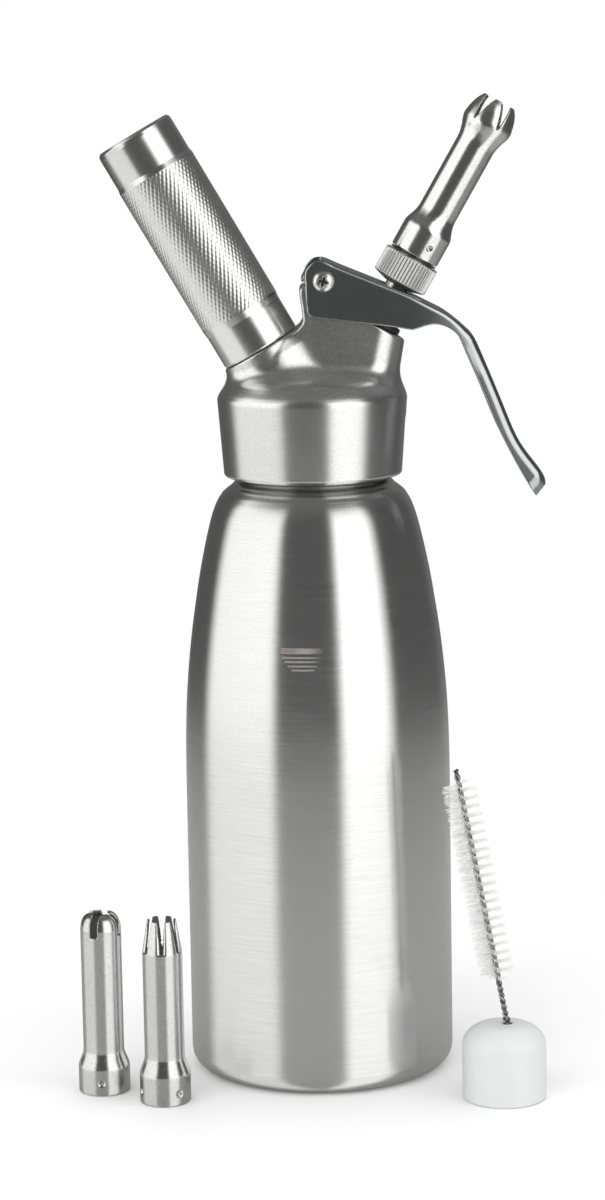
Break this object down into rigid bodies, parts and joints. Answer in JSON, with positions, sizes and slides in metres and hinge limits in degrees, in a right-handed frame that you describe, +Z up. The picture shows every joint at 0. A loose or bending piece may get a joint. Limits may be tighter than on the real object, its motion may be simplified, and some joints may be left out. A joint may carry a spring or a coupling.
{
  "type": "whipped cream dispenser",
  "caption": "Steel cream whipping dispenser with screw-on head, gas charger holder, hand lever, fitted tulip tip, spare star and finger tips, and a cleaning brush in its white cap.",
  "frame": {"origin": "centre of the bottle's flat base, on the surface that it stands on", "axes": "+Z up the bottle's axis, +X towards the lever and nozzle, -X towards the charger holder, -Y towards the viewer of the picture"},
  "size_m": [0.1702, 0.111, 0.3478],
  "materials": {
    "bottle_steel": "fine brushed round the bottle",
    "head_metal": "satin, turned collar and blasted dome",
    "lever_steel": "polished sheet with rolled edges",
    "tip_steel": "polished",
    "knurled_steel": "straight knurl, satin",
    "holder_metal": "fine knurl between two plain bands",
    "turned_steel": "turned",
    "screw_steel": "polished",
    "spring_steel": "drawn wire",
    "charger_steel": "plain zinc grey",
    "black_plastic": "matt",
    "white_plastic": "milky, half matt",
    "nylon_bristle": "fine nylon",
    "brush_wire": "twisted wire",
    "grey_rubber": "silicone",
    "black_rubber": "matt"
  },
  "bodies": {
    "bottle": {"bottle_shell": "bottle_steel", "neck_ring": "bottle_steel"},
    "gasket": {"head_gasket": "grey_rubber"},
    "head": {"head_casting": "head_metal", "pivot_sleeve": "turned_steel", "lever_screw": "screw_steel", "lever_nut": "screw_steel", "valve_bush": "black_plastic", "stem_o_ring": "black_rubber", "return_spring": "spring_steel", "piercing_pin": "turned_steel", "port_gasket": "black_rubber"},
    "lever": {"lever": "lever_steel"},
    "valve": {"valve_stem": "turned_steel", "valve_seal": "black_rubber"},
    "adapter": {"nozzle_adapter": "knurled_steel", "tip_gasket": "black_rubber"},
    "tip": {"tulip_tip": "tip_steel", "tulip_tip_insert": "turned_steel"},
    "charger": {"gas_charger": "charger_steel"},
    "holder": {"charger_holder": "holder_metal"},
    "star_tip": {"star_tip": "tip_steel", "star_tip_insert": "turned_steel"},
    "finger_tip": {"finger_tip": "tip_steel", "finger_tip_insert": "turned_steel"},
    "cap": {"brush_cap": "white_plastic"},
    "brush": {"brush_wire_foot": "brush_wire", "brush_bristles_1": "nylon_bristle", "brush_bristles_2": "nylon_bristle", "brush_bristles_3": "nylon_bristle", "brush_bristles_4": "nylon_bristle", "brush_wire_tip": "brush_wire"}
  },
  "joints": [
    {"name": "head_lift", "type": "slide", "parent": "bottle", "child": "gasket", "axis": [0, 0, 1], "range_m": [0, 0.06]},
    {"name": "head_turn", "type": "hinge", "parent": "gasket", "child": "head", "pos_m": [0, 0, 0.2431], "axis": [0, 0, 1], "range_deg": [0, 720]},
    {"name": "lever_press", "type": "hinge", "parent": "head", "child": "lever", "pos_m": [0.00455, 0, 0.28395], "axis": [0, 1, 0], "range_deg": [0, 8], "stiffness_Nm_per_rad": 3, "springref_deg": -8.59},
    {"name": "valve_slide", "type": "slide", "parent": "head", "child": "valve", "axis": [0.5, 0, 0.866], "range_m": [-0.0034, 0], "deforming": ["return_spring"]},
    {"name": "adapter_turn", "type": "hinge", "parent": "valve", "child": "adapter", "pos_m": [0.0365, 0, 0.29143], "axis": [0.5, 0, 0.866], "range_deg": [0, 1080]},
    {"name": "tip_lift", "type": "slide", "parent": "adapter", "child": "tip", "axis": [0.5, 0, 0.866], "range_m": [0, 0.03]},
    {"name": "charger_lift", "type": "slide", "parent": "head", "child": "charger", "axis": [-0.5, 0, 0.866], "range_m": [0, 0.03]},
    {"name": "holder_turn", "type": "hinge", "parent": "charger", "child": "holder", "pos_m": [-0.0176, 0, 0.2602], "axis": [-0.5, 0, 0.866], "range_deg": [0, 1440]},
    {"name": "star_tip_lift", "type": "slide", "parent": "bottle", "child": "star_tip", "axis": [0, 0, 1], "range_m": [0, 0.06]},
    {"name": "finger_tip_lift", "type": "slide", "parent": "bottle", "child": "finger_tip", "axis": [0, 0, 1], "range_m": [0, 0.06]},
    {"name": "cap_lift", "type": "slide", "parent": "bottle", "child": "cap", "axis": [0, 0, 1], "range_m": [0, 0.06]},
    {"name": "brush_pull", "type": "slide", "parent": "cap", "child": "brush", "axis": [-0.1857, 0, 0.9826], "range_m": [0, 0.03]}
  ],
  "couplings": [
    {"joint": "valve_slide", "follows": "lever_press", "m_per_rad": -0.0237}
  ]
}
